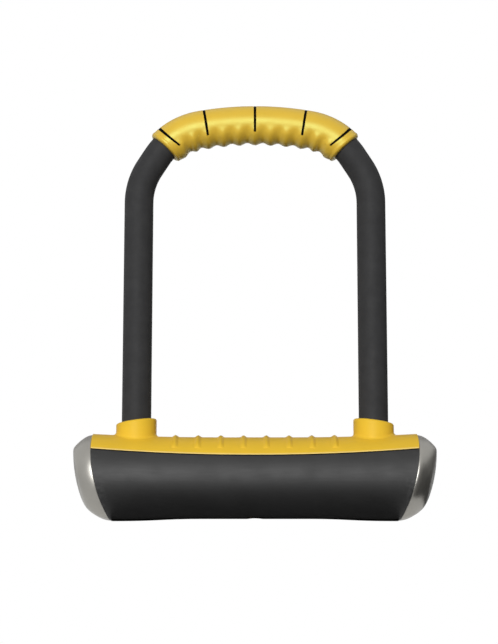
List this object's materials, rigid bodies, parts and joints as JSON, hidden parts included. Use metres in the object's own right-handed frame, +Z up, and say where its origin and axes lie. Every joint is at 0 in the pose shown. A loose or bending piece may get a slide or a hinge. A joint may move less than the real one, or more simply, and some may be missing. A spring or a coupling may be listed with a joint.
{
  "type": "u lock",
  "caption": "Bicycle u lock: a coated steel shackle with a ridged grip, and a tubular crossbar with a disc cylinder and forked bolts.",
  "frame": {"origin": "on the surface that the crossbar stands on, under its middle", "axes": "+X along the crossbar, +Y from the front to the back, +Z up along the shackle's legs"},
  "size_m": [0.1966, 0.049, 0.231],
  "materials": {
    "hardened_steel": "black-grey hardened bar, lightly oiled",
    "black_vinyl": "smooth matt vinyl coat",
    "yellow_rubber": "soft satin moulding",
    "black_rubber": "matt",
    "black_plastic": "satin moulded shell with a soft sheen",
    "yellow_plastic": "satin moulded cover",
    "satin_nickel": "satin nickel plate on a die casting",
    "plated_steel": "bright zinc plate",
    "grey_acetal": "moulded acetal",
    "brass": "turned"
  },
  "bodies": {
    "crossbar": {"body_shell": "black_plastic", "top_cover": "yellow_plastic", "right_end_cap": "satin_nickel", "left_end_cap": "satin_nickel", "crossbar_tube": "hardened_steel", "right_end_plug": "plated_steel", "left_end_plug": "plated_steel", "end_plug_pins": "plated_steel", "right_leg_seal": "black_rubber", "left_leg_seal": "black_rubber", "right_leg_bumper": "black_rubber", "left_leg_bumper": "black_rubber", "right_bolt_guide": "grey_acetal", "left_bolt_guide": "grey_acetal", "cylinder_housing": "brass", "retaining_ring": "plated_steel", "keyhole_bezel": "black_plastic"},
    "shackle": {"shackle_bar": "hardened_steel", "shackle_sleeve": "black_vinyl", "shackle_grip": "yellow_rubber", "grip_inlays": "black_rubber"},
    "plug": {"plug": "brass", "anti_drill_plate": "hardened_steel", "disc_spacers": "plated_steel", "drive_pinion": "plated_steel"},
    "discs": {"locking_discs": "brass"},
    "side_bar": {"side_bar": "plated_steel"},
    "left_bolt": {"left_bolt": "plated_steel"},
    "right_bolt": {"right_bolt": "plated_steel"},
    "shutter": {"keyhole_shutter": "yellow_plastic"}
  },
  "joints": [
    {"name": "shackle_lift", "type": "slide", "parent": "crossbar", "child": "shackle", "axis": [0, 0, 1], "range_m": [0, 0.08]},
    {"name": "key_turn", "type": "hinge", "parent": "crossbar", "child": "plug", "pos_m": [0, 0, 0.012], "axis": [0, 0, 1], "range_deg": [0, 90]},
    {"name": "disc_turn", "type": "hinge", "parent": "plug", "child": "discs", "pos_m": [0, 0, 0.0135], "axis": [0, 0, 1], "range_deg": [0, 14]},
    {"name": "side_bar_slide", "type": "slide", "parent": "plug", "child": "side_bar", "axis": [1, 0, 0], "range_m": [0, 0.001]},
    {"name": "left_bolt_slide", "type": "slide", "parent": "crossbar", "child": "left_bolt", "axis": [-1, 0, 0], "range_m": [0, 0.00942]},
    {"name": "right_bolt_slide", "type": "slide", "parent": "crossbar", "child": "right_bolt", "axis": [1, 0, 0], "range_m": [0, 0.00942]},
    {"name": "shutter_slide", "type": "slide", "parent": "crossbar", "child": "shutter", "axis": [1, 0, 0], "range_m": [0, 0.012]}
  ],
  "couplings": [
    {"joint": "key_turn", "follows": "left_bolt_slide", "rad_per_m": 166.67},
    {"joint": "right_bolt_slide", "follows": "left_bolt_slide", "ratio": 1},
    {"joint": "disc_turn", "follows": "side_bar_slide", "rad_per_m": 244.34}
  ]
}
